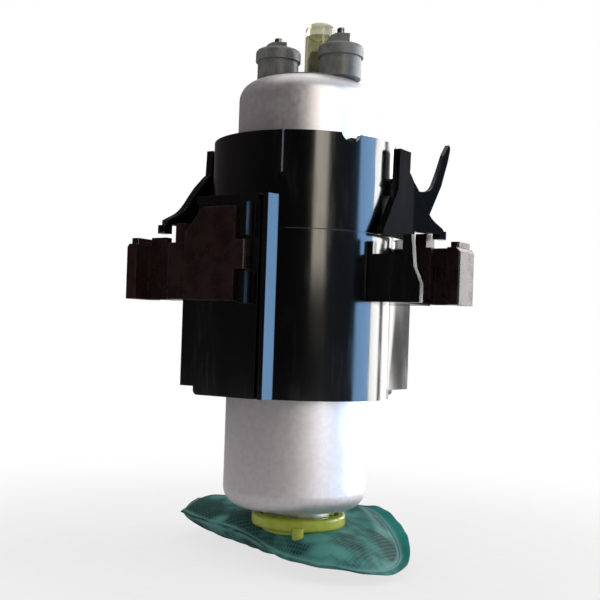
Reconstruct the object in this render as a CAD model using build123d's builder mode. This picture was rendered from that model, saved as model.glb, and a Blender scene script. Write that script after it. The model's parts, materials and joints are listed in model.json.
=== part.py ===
from build123d import *
from math import cos, hypot, pi, sin, sqrt
import os

# In-tank fuel pump in its plastic carrier. Millimetres, +Z up.
# The origin is on the pump axis, at the mid-plane of the carrier and of its guide shoes.
# The shoe arms reach along X. The front bracket is at -Y and the rear one is its half turn.

# Pump can
CAN_R = 21.0
CAN_TOP_R = 20.0
CAN_BOTTOM = -69.0
CAN_TOP = 54.7
CAN_WALL = 1.0
CAN_CORNER = 5.5
CAN_STEP_LOW = 20.0
CAN_STEP_HIGH = 22.0
CAN_BOTTOM_HOLE_R = 14.5
CAN_TOP_HOLE_R = 15.6
CAN_BORE_R = CAN_R - CAN_WALL
END_CAP_R = CAN_TOP_R - CAN_WALL
INNER_FILLET = 5.0

# Carrier sleeve, split at the seam
SLEEVE_R = 26.8
SLEEVE_BORE_R = 24.2
SLEEVE_HALF = 36.5
SEAM_Z = 10.0
SEAM_GROOVE = 0.3
SEAM_GROOVE_ROOM = (36.0, 30.0)

# Bracket on the sleeve, given for the front one
BRACKET_TOP = 19.0
WALL_LEFT = -22.4
WALL_LEFT_TOP = 12.0
WALL_Y = -27.0
WALL_THICK = 2.4
WALL_BOTTOM = -34.2
PLATE_LEFT = -16.5
PLATE_RIGHT = 4.8
PLATE_Y = -28.4
RIB_LEFT = 5.6
RIB_FRONT_RIGHT = 7.7
RIB_RIGHT = 8.7
RIB_Y = -28.8
RIB_FLANK_Y = -25.3
LIP_LEFT = 1.9
LIP_FRONT_RIGHT = 2.4
LIP_RIGHT = 3.4
LIP_Y = -31.2
LIP_TOE = 1.2
LIP_GAP = 0.3
UPPER_LIP = (7.7, 16.6)
LOWER_LIP = (-10.7, -2.0)
WEB_THICK = 2.0
SIDE_WEB_DEPTH = 16.0
PLATE_WEB_DEPTH = 10.0
PLATE_DEPTH = 3.0
PLATE_CORNER = 1.4
RIB_ROOT_Y = -20.0
RIB_CORNER = 0.5
LEDGE_THICK = 2.0
LEDGE_REACH = 1.0

# Rim of the sleeve
BEAD = (9.1, -25.3)
BEAD_R = 0.5
BEAD_LOW = 25.0
SCOOP_R = 3.2
SCOOP_LIFT = 0.8
SCOOP_TURN = -28.7

# Cheek beside each arm, given for the one at +X, with the shelf behind it
CHEEK_Y = -6.9
CHEEK_THICK = 2.0
CHEEK_OUTLINE = [
    (24.4, -9.0), (42.5, -9.0), (42.5, -4.0), (40.5, 0.5), (39.5, 9.3),
    (37.0, 9.3), (37.0, 4.2), (27.8, 4.2), (27.8, 7.7), (24.4, 7.7),
]
SHELF_NEAR_X = 20.0
SHELF_FAR_X = 33.0
SHELF_FAR_Y = 19.2
SHELF_BOTTOM = -9.0
SHELF_THICK = 2.0

# Guide shoe, given for the front one, whose arm reaches to -X
SHOE_FACE_Y = -31.0
SHOE_LEFT = -19.0
SHOE_RIGHT = -1.6
SHOE_BOTTOM = -10.0
SHOE_TOP = 15.8
SHOE_TAB_RIGHT = 1.7
SHOE_TAB = (-1.4, 6.6)
SHOE_CLIP = (6.0, 7.0)
SHOE_EDGE_R = 1.2
LINK_LEFT = -27.0
LINK_INNER = -22.8
LINK_THICK = 1.6
LINK_BEVELS = (0.4, 0.5, 1.2)
FLANGE_FAR = -32.6
FLANGE_NEAR = -26.4
HORN_WIDE = 3.6
HORN_TOP = 12.4
FRONT_HORN_X = -27.6
REAR_HORN_X = -30.9
FRONT_ARM = (-9.8, 6.3)
REAR_ARM = (-8.5, 8.3)
ARM_WEB_OUT = -25.0
ARM_WEB_IN = -22.7
BLOCK_NEAR = -37.7
BLOCK_FAR = -41.8
BLOCK_OUT = -30.4
BLOCK_IN = -19.5
BLOCK_CHAMFER = 1.3
BLOCK_EDGE_R = 0.8
BLOCK_CAP_HIGH = 1.7
BLOCK_CAP = (-39.2, -25.4)
BLOCK_CAP_SIZE = (2.8, 8.6)
BRIDGE_X = -33.9
BRIDGE_WIDE = 5.8
BRIDGE_HIGH = 2.1

# Latches, given for the rear one at +X
LATCH_AXIS_X = 27.7
LATCH_AXIS_Z = 24.0
LATCH_IN = 27.9
LATCH_OUT = 30.1
LATCH_BOSS_R = 1.2
LATCH_FOOT = (33.6, 23.8)
LATCH_FOOT_R = 1.5
LATCH_FOOT_HIGH = 2.4
LATCH_NEAR_Y = -5.3
LATCH_NEAR_Z = 10.8
LATCH_LOW = 9.7
LATCH_BEND_Y = 12.0
LATCH_BEND_LAG = 0.6
LATCH_TIP = (1.0, 0.6)
LATCH_NECK = (2.6, 23.1)
LATCH_UNDERCUT = (12.8, 22.0, 12.4)
LATCH_SLOPE = [(9.3, 28.8), (13.3, 25.0), (15.9, 20.9), (19.5, 16.1), (23.3, 13.6), (24.9, 11.2)]
PRONG_NEAR_Y = 3.0
PLAIN_PRONG = (8.9, 36.3)
FORK_PRONG = (9.5, 34.7)
PLAIN_FOOT_Z = 9.7
FORK_FOOT_Z = 10.9
FORK_THICK = 1.2
FORK_ROOT_Y = 8.6
BLADE_ROOM = 30.0
FORK_NOTCH = [(12.9, 24.4), (16.2, 24.3), (19.3, 25.2), (20.9, 27.9), (22.6, 32.4), (23.9, 36.3)]
FORK_BACK = [(25.5, 39.3), (26.2, 38.6), (25.4, 34.5), (23.2, 26.8), (18.9, 17.2), (14.0, 20.0)]
FORK_REACH = 2.4
HINGE_LOW_Y = 3.8
HINGE_HIGH_Y = 9.8
CRADLE_X = 24.0
CRADLE_Y = 3.6
CRADLE_SIZE = (3.4, 6.4, 4.8)

# Pump cell: a six-lobed inner rotor in a seven-lobed outer rotor
LOBES = 6
ECCENTRICITY = 1.2
ROTOR_GAP = 0.1
OUTER_ROTOR_R = 12.6
RUNNING_GAP = 0.06
CELL_LOW = -60.0
CELL_HIGH = -52.0
OUTLET_PLATE_TOP = -45.0
SHAFT_R = 2.5
BUSH_R = 4.5
BUSH_GAP = 0.03
LOWER_BUSH_SET_IN = 0.3
UPPER_BUSH = (30.0, 36.0)
SHAFT_TOP = 35.0
SHAFT_CHAMFER = 0.5
INLET_DEPTH = -63.5
INLET_SLOT = (5.6, 3.6, 40, 100)
INLET_SLOT_LOW = -66.0
OUTLET_SLOT = (7.8, 2.4, 220, 100)

# Motor
CORE_R = 13.2
CORE_LOW = -34.0
CORE_HIGH = 4.0
SLOTS = 8
SLOT_LOW_R = 6.6
SLOT_HIGH_R = 12.4
SLOT_WIDE = 3.2
SLOT_MOUTH = (2.4, 1.0)
WINDING_GAP = 0.1
WINDING_END = 6.0
WINDING_IN_R = 5.4
WINDING_CORNER = 1.5
MAGNET_IN_R = 13.9
MAGNET_OUT_R = 18.6
MAGNET_HALF_ANGLE = 62
MAGNET_OVERHANG = 2.0
CLIP_X = 17.6
CLIP_SIZE = (1.0, 8.4)
CLIP_WING = (16.1, 5.4)
CLIP_WING_SIZE = (0.9, 4.8)
CLIP_WING_TURN = 40
END_CAP_LOW = 18.0
END_CAP_HIGH = CAN_TOP - CAN_WALL
COMMUTATOR_R = 12.5
COMMUTATOR_LOW = 9.5
COMMUTATOR_TOP = 15.0
SEGMENT_GAP = 0.6
SEGMENT_LONG = 9.0
SEGMENT_MIDDLE_R = 9.5
SEGMENT_DEPTH = 1.5
BRUSH_X = 9.0
BRUSH_SIZE = (4.6, 6.6)
BRUSH_GAP = 0.2
BRUSH_LOW = COMMUTATOR_TOP + 0.05
BRUSH_HIGH = 24.0
BRUSH_WELL_TOP = 42.0
BRUSH_SPRING = (1.7, 0.3, 9)

# Rubber rings between can and sleeve
LOWER_DAMPER = (-34.0, -28.0)
UPPER_DAMPER = (28.0, 33.0)
DAMPER_TAB = (21.2, -8.4)
DAMPER_TAB_SIZE = (2.2, 2.6)
DAMPER_TAB_TURN = -21.6
DAMPER_TAB_TOP = 36.0

# Terminals on the end cap
TERMINALS = {"left": (-6.6, -6.2), "right": (12.3, -2.0)}
BOSS_TURN = 213.5
CAP_FACE = 55.0
CAP_RIM_GAP = 0.3
STEM_R = 6.0
STEM_SHOULDER = 61.0
STEM_TOP = 63.7
SPIGOT_R = 5.2
COLLAR_R = 6.6
COLLAR_TOP = 64.5
BOSS_TOP = {"left": 66.5, "right": 67.7}
BOSS_WIDE = 5.2
BOSS_BACK = -2.4
BOSS_FRONT = 4.2
BOSS_FLAT = 0.8
BOSS_LOW = 2.8
COLLAR_EDGE_R = 1.2
STUD_R = 1.25
STUD_TOP = {"left": 68.1, "right": 69.7}
STUD_FLANGE = 1.5
STUD_CHAMFER = 0.3
CHOKE_R = 2.4
CHOKE_LOW = 44.0
CHOKE_HIGH = 58.0

# Outlet nipple, its check valve and the transit cap
OUTLET = (-1.3, 8.1)
NIPPLE_R = 3.6
NIPPLE_LOW = 40.0
NIPPLE_TOP = 66.7
NIPPLE_BORE_R = 2.9
NIPPLE_MOUTH_R = 2.0
NIPPLE_TIP_R = 3.0
BARB_R = 3.95
BARB = (61.2, 62.2, 63.2)
OUTLET_PASSAGE_R = 2.5
VALVE_SEAT = (41.0, 43.0)
VALVE_SEAT_R = 1.5
POPPET_GAP = 0.05
POPPET_DISC = (2.5, 1.4)
POPPET_STEM_R = 1.2
POPPET_TOP = 50.0
VALVE_SPRING = (1.9, 0.25, 8)
VALVE_SPRING_TOP = 60.0
TRANSIT_R = 4.55
TRANSIT_BORE_R = 4.0
TRANSIT_LOW = 55.4
TRANSIT_ROOF = 71.5
TRANSIT_TOP = 75.3
TRANSIT_EDGE_R = 2.2

# Relief valve in the end cap
RELIEF = (5.5, -9.5)
RELIEF_BORE_R = 2.4
RELIEF_BALL_R = 1.9
RELIEF_BALL_GAP = 0.04
RELIEF_SEAT_R = 1.3
RELIEF_SEAT = (20.0, 22.0)
RELIEF_TOP = 44.0
RELIEF_VENT_R = 1.0
RELIEF_SPRING = (1.6, 0.25, 10)

# Inlet ring and filter sock
INLET = (1.3, 0.9)
SPIGOT_OUT_R = 9.0
INLET_BORE_R = 5.5
SPIGOT_LOW = -76.4
RING_R = 13.9
RING_LOW = -74.6
RING_HIGH = -71.0
RING_EDGE_R = 0.9
RING_FLOOR = 1.2
RING_WALL = 2.0
RING_HUB_WALL = 1.6
NECK_R = 12.6
NECK_BOTTOM = -78.2
PEG_BOTTOM = -76.4
PEG_ANGLE = -57.0
PEG_R = 1.7
PEG_HIGH = 3.2
FRAME_LOW = -81.8
FRAME_THICK = 2.4
FRAME_RING_R = 10.0
FRAME_HOLE_R = 7.5
FRAME_RIB_ROOT = 8.5
FRAME_RIB_WIDE = 3.0
FRAME_RIBS = ((5, 20), (75, 18), (165, 30), (250, 3))
SOCK_SEAM_Z = -79.0
SOCK_TOP_Z = -76.5
SOCK_LOW_Z = -83.5
SOCK_OUTLINE = [
    (-52.0, 20.0), (-46.0, 4.0), (-30.0, -5.0), (-12.0, -12.0), (8.0, -17.5),
    (24.0, -17.0), (34.0, -9.0), (36.0, 4.0), (30.0, 17.0), (20.0, 29.0),
    (7.0, 36.0), (-11.0, 36.0), (-34.0, 30.0),
]
SOCK_MIDDLE = (-3.0, 10.0)
SOCK_CROWN = 0.72
SOCK_BASE = 0.8
SOCK_TILT = 4.0
SOCK_TILT_WAY = (0.38, 0.92, 0)


def save(piece, name):
    """Label a finished piece and write it as its own file."""
    piece.part.label = name
    export_step(piece.part, f"parts/{name}.step")


def can_form(inset):
    """The can's closed form, drawn in by inset on every side."""
    low = CAN_BOTTOM + inset
    high = CAN_TOP - inset
    with BuildPart() as form:
        with BuildSketch(Plane.XZ):
            with BuildLine():
                Polyline(
                    (0, low),
                    (CAN_R - inset, low),
                    (CAN_R - inset, CAN_STEP_LOW),
                    (CAN_TOP_R - inset, CAN_STEP_HIGH),
                    (CAN_TOP_R - inset, high),
                    (0, high),
                    close=True,
                )
            make_face()
            lowest = vertices().group_by(Axis.Y)[0].sort_by(Axis.X)[-1]
            highest = vertices().group_by(Axis.Y)[-1].sort_by(Axis.X)[-1]
            fillet([lowest, highest], CAN_CORNER - inset)
        revolve(axis=Axis.Z)
    return form.part


def tube(low, high, outer, inner, centre=(0, 0)):
    """A plain round tube between two heights."""
    with BuildPart() as form:
        with BuildSketch(Plane.XY.offset(low)):
            with Locations(centre):
                Circle(outer)
                Circle(inner, mode=Mode.SUBTRACT)
        extrude(amount=high - low)
    return form


def rod(low, high, radius, centre=(0, 0)):
    """A plain round rod between two heights."""
    with BuildPart() as form:
        with BuildSketch(Plane.XY.offset(low)):
            with Locations(centre):
                Circle(radius)
        extrude(amount=high - low)
    return form


def coil_spring(low, high, coil_r, wire_r, turns, centre):
    """A helical spring that stands between two heights."""
    rise = high - low - 2 * wire_r
    with BuildPart() as form:
        with BuildLine() as path:
            Helix(rise / turns, rise, coil_r, center=(centre[0], centre[1], low + wire_r))
        with BuildSketch(Plane(path.line @ 0, z_dir=path.line % 0)):
            Circle(wire_r)
        sweep(is_frenet=True)
    return form


def rotor_outline(lobes, gap, turn, centre_x):
    """Points round a rotor whose lobes are cycloids rolled outside and inside its pitch circle."""
    pitch_r = lobes * ECCENTRICITY
    roll = ECCENTRICITY / 2
    steps = 10
    points = []
    for arch in range(2 * lobes):
        side = 1 if arch % 2 == 0 else -1
        arm = pitch_r + side * roll
        for step in range(steps):
            angle = (arch + (step + 0.5) / steps) * pi / lobes
            spin = angle * arm / roll
            along = (side * sin(spin) - sin(angle), cos(angle) - cos(spin))
            length = hypot(*along)
            x = arm * cos(angle) - side * roll * cos(spin) + gap * along[1] / length
            y = arm * sin(angle) - roll * sin(spin) - gap * along[0] / length
            points.append((
                centre_x + x * cos(turn) - y * sin(turn),
                x * sin(turn) + y * cos(turn),
            ))
    return points


def carrier_shell(low, high, upper):
    """One half of the black carrier: its sleeve, and its share of both brackets."""
    wall_low = max(low, WALL_BOTTOM)
    bracket_high = min(high, BRACKET_TOP)
    wall_high = min(high, WALL_LEFT_TOP)
    lip_low, lip_high = UPPER_LIP if upper else LOWER_LIP
    with BuildPart() as shell:
        with BuildSketch(Plane.XY.offset(low)):
            Circle(SLEEVE_R)
        extrude(amount=high - low)
        # Back wall of each bracket, and the two webs that tie it to the sleeve
        with BuildSketch(Plane.XY.offset(wall_low)):
            with PolarLocations(0, 2):
                with Locations((WALL_LEFT, WALL_Y)):
                    Rectangle(PLATE_LEFT - WALL_LEFT, WALL_THICK, align=(Align.MIN, Align.MIN))
                with Locations((WALL_LEFT, WALL_Y + 1)):
                    Rectangle(WEB_THICK, SIDE_WEB_DEPTH, align=(Align.MIN, Align.MIN))
        extrude(amount=wall_high - wall_low)
        with BuildSketch(Plane.XY.offset(wall_low)):
            with PolarLocations(0, 2):
                with Locations((PLATE_LEFT, WALL_Y)):
                    Rectangle(RIB_FRONT_RIGHT - PLATE_LEFT, WALL_THICK, align=(Align.MIN, Align.MIN))
                with Locations((PLATE_LEFT, WALL_Y + 1)):
                    Rectangle(WEB_THICK, PLATE_WEB_DEPTH, align=(Align.MIN, Align.MIN))
        extrude(amount=bracket_high - wall_low)
        # Raised plate, and the full-height rib at its right
        with BuildSketch(Plane.XY.offset(low)):
            with PolarLocations(0, 2):
                with Locations((PLATE_LEFT, PLATE_Y)):
                    Rectangle(PLATE_RIGHT - PLATE_LEFT, PLATE_DEPTH, align=(Align.MIN, Align.MIN))
                with BuildLine():
                    Polyline(
                        (RIB_LEFT, RIB_ROOT_Y),
                        (RIB_LEFT, RIB_Y + RIB_CORNER),
                        (RIB_LEFT + RIB_CORNER, RIB_Y),
                        (RIB_FRONT_RIGHT, RIB_Y),
                        (RIB_RIGHT, RIB_FLANK_Y),
                        (RIB_RIGHT, RIB_ROOT_Y),
                        close=True,
                    )
                make_face()
        extrude(amount=bracket_high - low)
        # Hooked lips that hold the shoe's plate
        with BuildSketch(Plane.XY.offset(lip_low)):
            with PolarLocations(0, 2):
                with BuildLine():
                    Polyline(
                        (LIP_LEFT, PLATE_Y),
                        (LIP_LEFT, LIP_Y),
                        (LIP_FRONT_RIGHT, LIP_Y),
                        (LIP_RIGHT, PLATE_Y),
                        close=True,
                    )
                make_face()
                with Locations((SHOE_RIGHT + LIP_GAP, PLATE_Y - LIP_TOE)):
                    toe_wide = LIP_LEFT - SHOE_RIGHT
                    Rectangle(toe_wide, LIP_TOE, align=(Align.MIN, Align.MIN))
        extrude(amount=lip_high - lip_low)
        if upper:
            # Ledge along the top of each bracket
            with BuildSketch(Plane.XY.offset(BRACKET_TOP - LEDGE_THICK)):
                with PolarLocations(0, 2):
                    with Locations((PLATE_LEFT, PLATE_Y - LEDGE_REACH)):
                        ledge_wide = PLATE_RIGHT - PLATE_LEFT
                        Rectangle(ledge_wide, LEDGE_REACH, align=(Align.MIN, Align.MIN))
            extrude(amount=LEDGE_THICK)
            # Cradles for the latches, and thin beads down from the rim
            cradle_wide, cradle_long, cradle_high = CRADLE_SIZE
            with BuildSketch(Plane.XY.offset(LATCH_AXIS_Z - cradle_high / 2)):
                with PolarLocations(0, 2):
                    with Locations((CRADLE_X, CRADLE_Y)):
                        Rectangle(cradle_wide, cradle_long, align=(Align.MIN, Align.MIN))
            extrude(amount=cradle_high)
            cradle_end = CRADLE_Y + cradle_long
            with BuildSketch(Plane.XZ.offset(-cradle_end)):
                with Locations((LATCH_AXIS_X, LATCH_AXIS_Z), (-LATCH_AXIS_X, LATCH_AXIS_Z)):
                    Circle(LATCH_BOSS_R + RUNNING_GAP)
            extrude(amount=2 * cradle_end, mode=Mode.SUBTRACT)
            with BuildSketch(Plane.XY.offset(BEAD_LOW)):
                with PolarLocations(0, 2):
                    with Locations(BEAD):
                        Circle(BEAD_R)
            extrude(amount=high - BEAD_LOW)
        else:
            # Cheeks that stand off the sleeve beside the arms, with a shelf behind each
            with BuildSketch(Plane.XZ.offset(-CHEEK_Y)):
                with BuildLine():
                    Polyline(*CHEEK_OUTLINE, close=True)
                make_face()
            extrude(amount=-CHEEK_THICK)
            with BuildSketch(Plane.XZ.offset(CHEEK_Y)):
                with BuildLine():
                    Polyline(*[(-x, z) for x, z in CHEEK_OUTLINE], close=True)
                make_face()
            extrude(amount=CHEEK_THICK)
            with BuildSketch(Plane.XY.offset(SHELF_BOTTOM)):
                with PolarLocations(0, 2):
                    with Locations((SHELF_NEAR_X, CHEEK_Y)):
                        shelf_wide = SHELF_FAR_X - SHELF_NEAR_X
                        shelf_long = SHELF_FAR_Y - CHEEK_Y
                        Rectangle(shelf_wide, shelf_long, align=(Align.MIN, Align.MIN))
            extrude(amount=SHELF_THICK)
        # Bore, and the fine groove at the seam
        with BuildSketch(Plane.XY.offset(low)):
            Circle(SLEEVE_BORE_R)
        extrude(amount=high - low, mode=Mode.SUBTRACT)
        with BuildSketch(Plane.XY.offset(low if upper else high)):
            Circle(SLEEVE_R + 1)
            Circle(SLEEVE_R - SEAM_GROOVE, mode=Mode.SUBTRACT)
            with PolarLocations(0, 2):
                with Locations((WALL_LEFT - 1, WALL_Y + WALL_THICK)):
                    Rectangle(*SEAM_GROOVE_ROOM, align=(Align.MIN, Align.MAX), mode=Mode.SUBTRACT)
        extrude(amount=SEAM_GROOVE / 2 if upper else -SEAM_GROOVE / 2, mode=Mode.SUBTRACT)
        if upper:
            # Scoop in the rim
            scoop_way = Vector(1, 0, 0).rotate(Axis.Z, SCOOP_TURN)
            with BuildSketch(Plane(origin=(0, 0, high + SCOOP_LIFT), z_dir=scoop_way)):
                Circle(SCOOP_R)
            extrude(amount=2 * SLEEVE_R, mode=Mode.SUBTRACT)
        else:
            # Rounded lower outer corner of each raised plate
            outer = edges().filter_by(Axis.Y).group_by(Axis.Z)[0]
            corners = [edge for edge in outer if abs(abs(edge.center().X) + PLATE_LEFT) < 0.01]
            fillet(corners, PLATE_CORNER)
    return shell


def guide_shoe(horn_x, arm_low, arm_high, bridged):
    """The brown slide of the front bracket, with its horn at horn_x and its arm between two heights."""
    corner, lap, slant = LINK_BEVELS
    with BuildPart() as shoe:
        # Broad plate with one clipped corner, and the tab between the bracket's lips
        with BuildSketch(Plane.XZ.offset(-SHOE_FACE_Y)):
            with BuildLine():
                Polyline(
                    (SHOE_LEFT, SHOE_BOTTOM),
                    (SHOE_RIGHT, SHOE_BOTTOM),
                    (SHOE_RIGHT, SHOE_TAB[0]),
                    (SHOE_TAB_RIGHT, SHOE_TAB[0]),
                    (SHOE_TAB_RIGHT, SHOE_TAB[1]),
                    (SHOE_RIGHT, SHOE_TAB[1]),
                    (SHOE_RIGHT, SHOE_TOP),
                    (SHOE_LEFT + SHOE_CLIP[0], SHOE_TOP),
                    (SHOE_LEFT, SHOE_TOP - SHOE_CLIP[1]),
                    close=True,
                )
            make_face()
        extrude(amount=SHOE_FACE_Y - PLATE_Y)
        tab_edge = edges().filter_by(Axis.Z).group_by(Axis.Y)[0].sort_by(Axis.X)[-1]
        fillet(tab_edge, SHOE_EDGE_R)
        # Link round the bracket's wall, web, inner flange and horn of the arm
        with BuildSketch(Plane.XY.offset(arm_low)):
            with BuildLine():
                Polyline(
                    (SHOE_LEFT + lap, PLATE_Y),
                    (SHOE_LEFT + lap, PLATE_Y - LINK_THICK),
                    (LINK_LEFT + slant, PLATE_Y - LINK_THICK),
                    (LINK_LEFT, PLATE_Y - corner),
                    (LINK_LEFT, ARM_WEB_OUT),
                    (BLOCK_NEAR, ARM_WEB_OUT),
                    (BLOCK_NEAR, ARM_WEB_IN),
                    (FLANGE_FAR, ARM_WEB_IN),
                    (FLANGE_FAR, BLOCK_IN),
                    (FLANGE_NEAR, BLOCK_IN),
                    (LINK_INNER, ARM_WEB_IN),
                    (LINK_INNER, PLATE_Y + corner),
                    (LINK_INNER + corner, PLATE_Y),
                    close=True,
                )
            make_face()
        extrude(amount=arm_high - arm_low)
        with BuildSketch(Plane.XY.offset(arm_high)):
            with Locations((horn_x, ARM_WEB_OUT)):
                Rectangle(HORN_WIDE, BLOCK_IN - ARM_WEB_OUT, align=(Align.MIN, Align.MIN))
        extrude(amount=HORN_TOP - arm_high)
        # End block with its cap
        with BuildSketch(Plane.XY.offset(arm_low)):
            with Locations((BLOCK_FAR, BLOCK_OUT)):
                block_wide = BLOCK_NEAR - BLOCK_FAR
                Rectangle(block_wide, BLOCK_IN - BLOCK_OUT, align=(Align.MIN, Align.MIN))
        extrude(amount=arm_high - arm_low)
        top_edge = edges().filter_by(Axis.Y).group_by(Axis.X)[0].sort_by(Axis.Z)[-1]
        chamfer(top_edge, BLOCK_CHAMFER)
        fillet(edges().filter_by(Axis.Z).group_by(Axis.X)[0], BLOCK_EDGE_R)
        with BuildSketch(Plane.XY.offset(arm_high)):
            with Locations(BLOCK_CAP):
                RectangleRounded(*BLOCK_CAP_SIZE, BLOCK_EDGE_R)
        extrude(amount=BLOCK_CAP_HIGH)
        if bridged:
            with BuildSketch(Plane.XY.offset(arm_high)):
                with Locations((BRIDGE_X, (ARM_WEB_OUT + ARM_WEB_IN) / 2)):
                    Rectangle(BRIDGE_WIDE, ARM_WEB_IN - ARM_WEB_OUT)
            extrude(amount=BRIDGE_HIGH)
            fillet(edges().filter_by(Axis.Y).group_by(Axis.Z)[-2], BLOCK_EDGE_R)
    return shoe


def latch(fork):
    """The sprung tongue on the +X side. The rear one carries the hose fork."""
    foot_x, foot_y = LATCH_FOOT
    foot_z = FORK_FOOT_Z if fork else PLAIN_FOOT_Z
    prong_far_y, prong_top = FORK_PRONG if fork else PLAIN_PRONG
    undercut_near, undercut_far, undercut_z = LATCH_UNDERCUT
    foot_end_y = LATCH_SLOPE[-1][0]
    inner_tip = Vector(foot_x - LATCH_TIP[0], foot_y + LATCH_TIP[1])
    outer_tip = Vector(foot_x + LATCH_TIP[0], foot_y - LATCH_TIP[1])
    with BuildPart() as tongue:
        # Plan of the bent plate, raised and then cut to its side view
        with BuildSketch(Plane.XY.offset(LATCH_LOW)):
            with BuildLine():
                Polyline(
                    (LATCH_IN, LATCH_NEAR_Y),
                    (LATCH_OUT, LATCH_NEAR_Y),
                    (LATCH_OUT, LATCH_BEND_Y),
                    (outer_tip.X, outer_tip.Y),
                    (inner_tip.X, inner_tip.Y),
                    (LATCH_IN, LATCH_BEND_Y + LATCH_BEND_LAG),
                    close=True,
                )
            make_face()
        extrude(amount=prong_top - LATCH_LOW)
        with BuildSketch(Plane.YZ):
            with BuildLine():
                Spline(*LATCH_SLOPE)
                Polyline(
                    LATCH_SLOPE[-1],
                    (foot_end_y, foot_z),
                    (undercut_far, foot_z),
                    (undercut_far, undercut_z),
                    (undercut_near, undercut_z),
                    (undercut_near, LATCH_LOW),
                    (LATCH_NEAR_Y, LATCH_LOW),
                    (LATCH_NEAR_Y, LATCH_NEAR_Z),
                    LATCH_NECK,
                    (PRONG_NEAR_Y, prong_top),
                    (prong_far_y, prong_top),
                    LATCH_SLOPE[0],
                )
            make_face()
        extrude(amount=2 * foot_x, mode=Mode.INTERSECT)
        # Hinge boss that rocks in the cradle, and the round foot over the shoe
        with BuildSketch(Plane.XZ.offset(-HINGE_HIGH_Y)):
            with Locations((LATCH_AXIS_X, LATCH_AXIS_Z)):
                Circle(LATCH_BOSS_R)
        extrude(amount=HINGE_HIGH_Y - HINGE_LOW_Y)
        with BuildSketch(Plane.XY.offset(foot_z)):
            with Locations(LATCH_FOOT):
                Circle(LATCH_FOOT_R)
        extrude(amount=LATCH_FOOT_HIGH)
    if not fork:
        return tongue
    # The thinner web that carries the hose fork's notch and blade
    lean = (inner_tip - outer_tip).normalized()
    along = (inner_tip - Vector(LATCH_IN, LATCH_BEND_Y + LATCH_BEND_LAG)).normalized()
    inner_tip = inner_tip + along * FORK_REACH
    with BuildPart() as web:
        with BuildSketch(Plane.XY.offset(LATCH_LOW)):
            with BuildLine():
                Polyline(
                    (LATCH_IN, FORK_ROOT_Y),
                    (LATCH_IN + FORK_THICK, FORK_ROOT_Y),
                    (LATCH_IN + FORK_THICK, LATCH_BEND_Y + LATCH_BEND_LAG / 2),
                    (inner_tip.X - lean.X * FORK_THICK, inner_tip.Y - lean.Y * FORK_THICK),
                    (inner_tip.X, inner_tip.Y),
                    (LATCH_IN, LATCH_BEND_Y + LATCH_BEND_LAG),
                    close=True,
                )
            make_face()
        extrude(amount=BLADE_ROOM)
        with BuildSketch(Plane.YZ):
            with BuildLine():
                Spline(*FORK_NOTCH)
                Polyline(FORK_NOTCH[-1], *FORK_BACK, FORK_NOTCH[0])
            make_face()
        extrude(amount=2 * foot_x, mode=Mode.INTERSECT)
        add(tongue.part)
    return web


def terminal_collar(side):
    """The cap that closes one terminal stem, with its half-round boss."""
    x, y = TERMINALS[side]
    seat = Plane(origin=(x, y, STEM_SHOULDER), x_dir=Vector(1, 0, 0).rotate(Axis.Z, BOSS_TURN))
    with BuildPart() as collar:
        with BuildSketch(seat):
            Circle(COLLAR_R)
        extrude(amount=COLLAR_TOP - STEM_SHOULDER)
        fillet(edges().group_by(Axis.Z)[-1], COLLAR_EDGE_R)
        with BuildSketch(seat):
            Circle(SPIGOT_R)
        extrude(amount=STEM_TOP - STEM_SHOULDER, mode=Mode.SUBTRACT)
        side_view = Plane(origin=seat.origin, x_dir=seat.x_dir, z_dir=-seat.y_dir)
        boss_high = BOSS_TOP[side] - STEM_SHOULDER
        with BuildSketch(side_view.offset(-BOSS_WIDE / 2)):
            with BuildLine():
                Line((BOSS_BACK, BOSS_LOW), (BOSS_FRONT, BOSS_LOW))
                TangentArc((BOSS_FLAT, boss_high), (BOSS_FRONT, BOSS_LOW), tangent=(1, 0))
                Line((BOSS_FLAT, boss_high), (BOSS_BACK, boss_high))
                Line((BOSS_BACK, boss_high), (BOSS_BACK, BOSS_LOW))
            make_face()
        extrude(amount=BOSS_WIDE)
        with BuildSketch(seat):
            Circle(STUD_R)
        extrude(amount=STUD_TOP[side] - STEM_SHOULDER, mode=Mode.SUBTRACT)
    return collar


def terminal_stud(side):
    """The flanged metal stud that stands through one collar."""
    centre = TERMINALS[side]
    with BuildPart() as stud:
        with BuildSketch(Plane.XY.offset(CHOKE_HIGH)):
            with Locations(centre):
                Circle(CHOKE_R)
        extrude(amount=STUD_FLANGE)
        with BuildSketch(Plane.XY.offset(CHOKE_HIGH)):
            with Locations(centre):
                Circle(STUD_R)
        extrude(amount=STUD_TOP[side] - CHOKE_HIGH)
        chamfer(edges().group_by(Axis.Z)[-1], STUD_CHAMFER)
    return stud


def magnet(turn):
    """One arc magnet of the motor's field."""
    reach = 2 * MAGNET_OUT_R
    with BuildPart() as arc:
        with BuildSketch(Plane.XY.offset(CORE_LOW - MAGNET_OVERHANG)):
            Circle(MAGNET_OUT_R)
            Circle(MAGNET_IN_R, mode=Mode.SUBTRACT)
            with BuildLine():
                Polyline(
                    (0, 0),
                    Vector(reach, 0).rotate(Axis.Z, turn - MAGNET_HALF_ANGLE),
                    Vector(1.5 * reach, 0).rotate(Axis.Z, turn),
                    Vector(reach, 0).rotate(Axis.Z, turn + MAGNET_HALF_ANGLE),
                    close=True,
                )
            make_face(mode=Mode.INTERSECT)
        extrude(amount=CORE_HIGH - CORE_LOW + 2 * MAGNET_OVERHANG)
    return arc


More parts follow.
